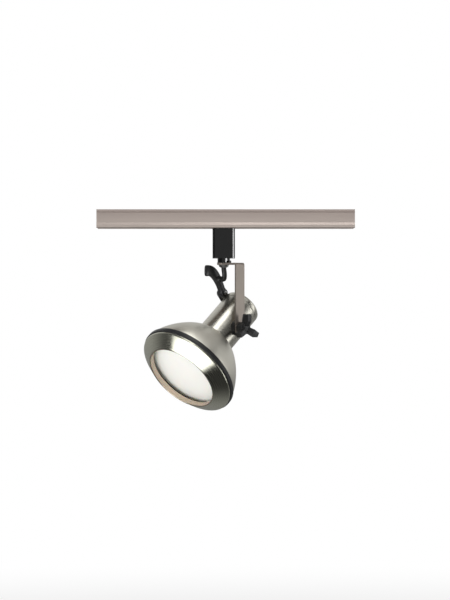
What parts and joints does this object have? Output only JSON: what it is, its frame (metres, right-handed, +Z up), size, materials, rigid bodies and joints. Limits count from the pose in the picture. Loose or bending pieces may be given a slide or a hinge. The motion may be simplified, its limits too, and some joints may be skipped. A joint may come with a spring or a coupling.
{
  "type": "track light",
  "caption": "Adjustable spotlight on a length of power track: bell-shaped brushed metal head that tilts on an arm and turns under a plug-in adapter.",
  "frame": {"origin": "centre of the track's top face, which lies against the ceiling", "axes": "+X along the track, +Z up into the ceiling, -Y towards the side that the lamp faces"},
  "size_m": [0.267, 0.1163, 0.208],
  "materials": {
    "track_metal": "satin nickel, fine lengthwise grain",
    "liner_plastic": "extruded",
    "copper": "bare copper, slightly dull",
    "adapter_plastic": "glossy black moulding",
    "carrier_plastic": "moulded",
    "contact_brass": "sprung brass",
    "zinc_steel": "zinc plated",
    "black_steel": "black",
    "arm_metal": "satin nickel plated strip",
    "brushed_metal": "lathe-brushed satin nickel",
    "ring_metal": "lathe-brushed, brighter",
    "clip_steel": "spring steel",
    "gasket_rubber": "matte black",
    "black_plastic": "black nylon, fine grain",
    "cord_sheath": "black flexible sheath",
    "lead_insulation": "silicone insulation",
    "holder_ceramic": "unglazed porcelain",
    "lamp_glass": "frosted",
    "stem_glass": "clear",
    "filament_wire": "tungsten",
    "lamp_base_metal": "rolled nickel-plated cap",
    "base_insulator": "black vitrite"
  },
  "bodies": {
    "track": {"track_channel": "track_metal", "front_liner": "liner_plastic", "rear_liner": "liner_plastic", "live_busbar": "copper", "neutral_busbar": "copper", "earth_strip": "copper"},
    "adapter": {"adapter_front_shell": "adapter_plastic", "adapter_rear_shell": "adapter_plastic", "adapter_screws": "zinc_steel", "contact_carrier": "carrier_plastic", "live_contact": "contact_brass", "neutral_contact": "contact_brass", "earth_contact": "contact_brass", "swivel_collar": "adapter_plastic", "adapter_leads": "lead_insulation"},
    "arm": {"hollow_stud": "zinc_steel", "stud_retainer": "zinc_steel", "stop_washer": "black_steel", "arm": "arm_metal", "stud_nut": "zinc_steel", "supply_cord": "cord_sheath"},
    "head": {"barrel": "brushed_metal", "bell": "brushed_metal", "gasket": "gasket_rubber", "pivot_spacer": "black_plastic", "pivot_screw": "zinc_steel", "spring_washer": "zinc_steel", "aiming_handle": "black_plastic", "handle_lug": "zinc_steel", "handle_screw": "zinc_steel", "cord_bushing": "black_plastic", "lampholder_body": "holder_ceramic", "lampholder_shell": "contact_brass", "lampholder_contact": "contact_brass", "terminal_screws": "contact_brass", "lampholder_bracket": "zinc_steel", "bracket_screws": "zinc_steel", "head_leads": "lead_insulation"},
    "knob": {"wing_knob": "black_plastic"},
    "ring": {"front_ring": "ring_metal", "ring_clips": "clip_steel"},
    "lamp": {"lamp_envelope": "lamp_glass", "lamp_stem": "stem_glass", "lamp_filament": "filament_wire", "lamp_base": "lamp_base_metal", "lamp_base_insulator": "base_insulator", "lamp_tip": "lamp_base_metal"}
  },
  "joints": [
    {"name": "adapter_slide", "type": "slide", "parent": "track", "child": "adapter", "axis": [1, 0, 0], "range_m": [-0.115, 0.115]},
    {"name": "arm_swivel", "type": "hinge", "parent": "adapter", "child": "arm", "pos_m": [-0.002, 0, -0.0525], "axis": [0, 0, 1], "range_deg": [-200, 113]},
    {"name": "head_tilt", "type": "hinge", "parent": "arm", "child": "head", "pos_m": [-0.002, 0, -0.1228], "axis": [0.6947, -0.7193, 0], "range_deg": [-40, 50], "deforming": ["supply_cord"]},
    {"name": "knob_turn", "type": "hinge", "parent": "head", "child": "knob", "pos_m": [-0.002, 0, -0.1228], "axis": [0.6947, -0.7193, 0], "continuous": true},
    {"name": "ring_pull", "type": "slide", "parent": "head", "child": "ring", "axis": [-0.551, -0.5321, -0.6428], "range_m": [0, 0.02]},
    {"name": "lamp_screw_turn", "type": "hinge", "parent": "head", "child": "lamp", "pos_m": [-0.002, 0, -0.1228], "axis": [-0.551, -0.5321, -0.6428], "continuous": true}
  ]
}
